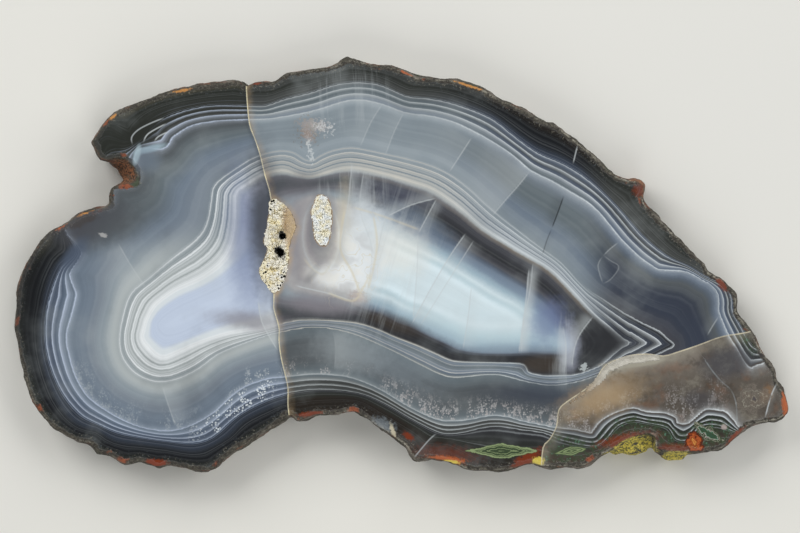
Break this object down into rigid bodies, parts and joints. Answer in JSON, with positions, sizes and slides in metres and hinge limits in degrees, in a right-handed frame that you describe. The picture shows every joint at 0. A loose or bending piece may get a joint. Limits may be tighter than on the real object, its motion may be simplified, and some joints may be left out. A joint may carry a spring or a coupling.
{
  "type": "fortification agate slice",
  "caption": "Flat slice of a banded agate nodule with one polished face, a rough natural rind all round and quartz-lined hollows.",
  "frame": {"origin": "middle of the sawn back, on the surface that the slice lies on", "axes": "+X along the slice towards its pointed end, +Y towards its arched edge, +Z out of the polished face"},
  "size_m": [0.1167, 0.063, 0.006],
  "materials": {
    "agate": "polished face, sawn back, rough rind",
    "fissure_quartz": "sugary yellow quartz crust",
    "small_quartz": "sugary white quartz crust"
  },
  "bodies": {
    "root": {"agate_slice": "agate", "fissure_vug_crust": "fissure_quartz", "small_vug_crust": "small_quartz"}
  },
  "joints": []
}
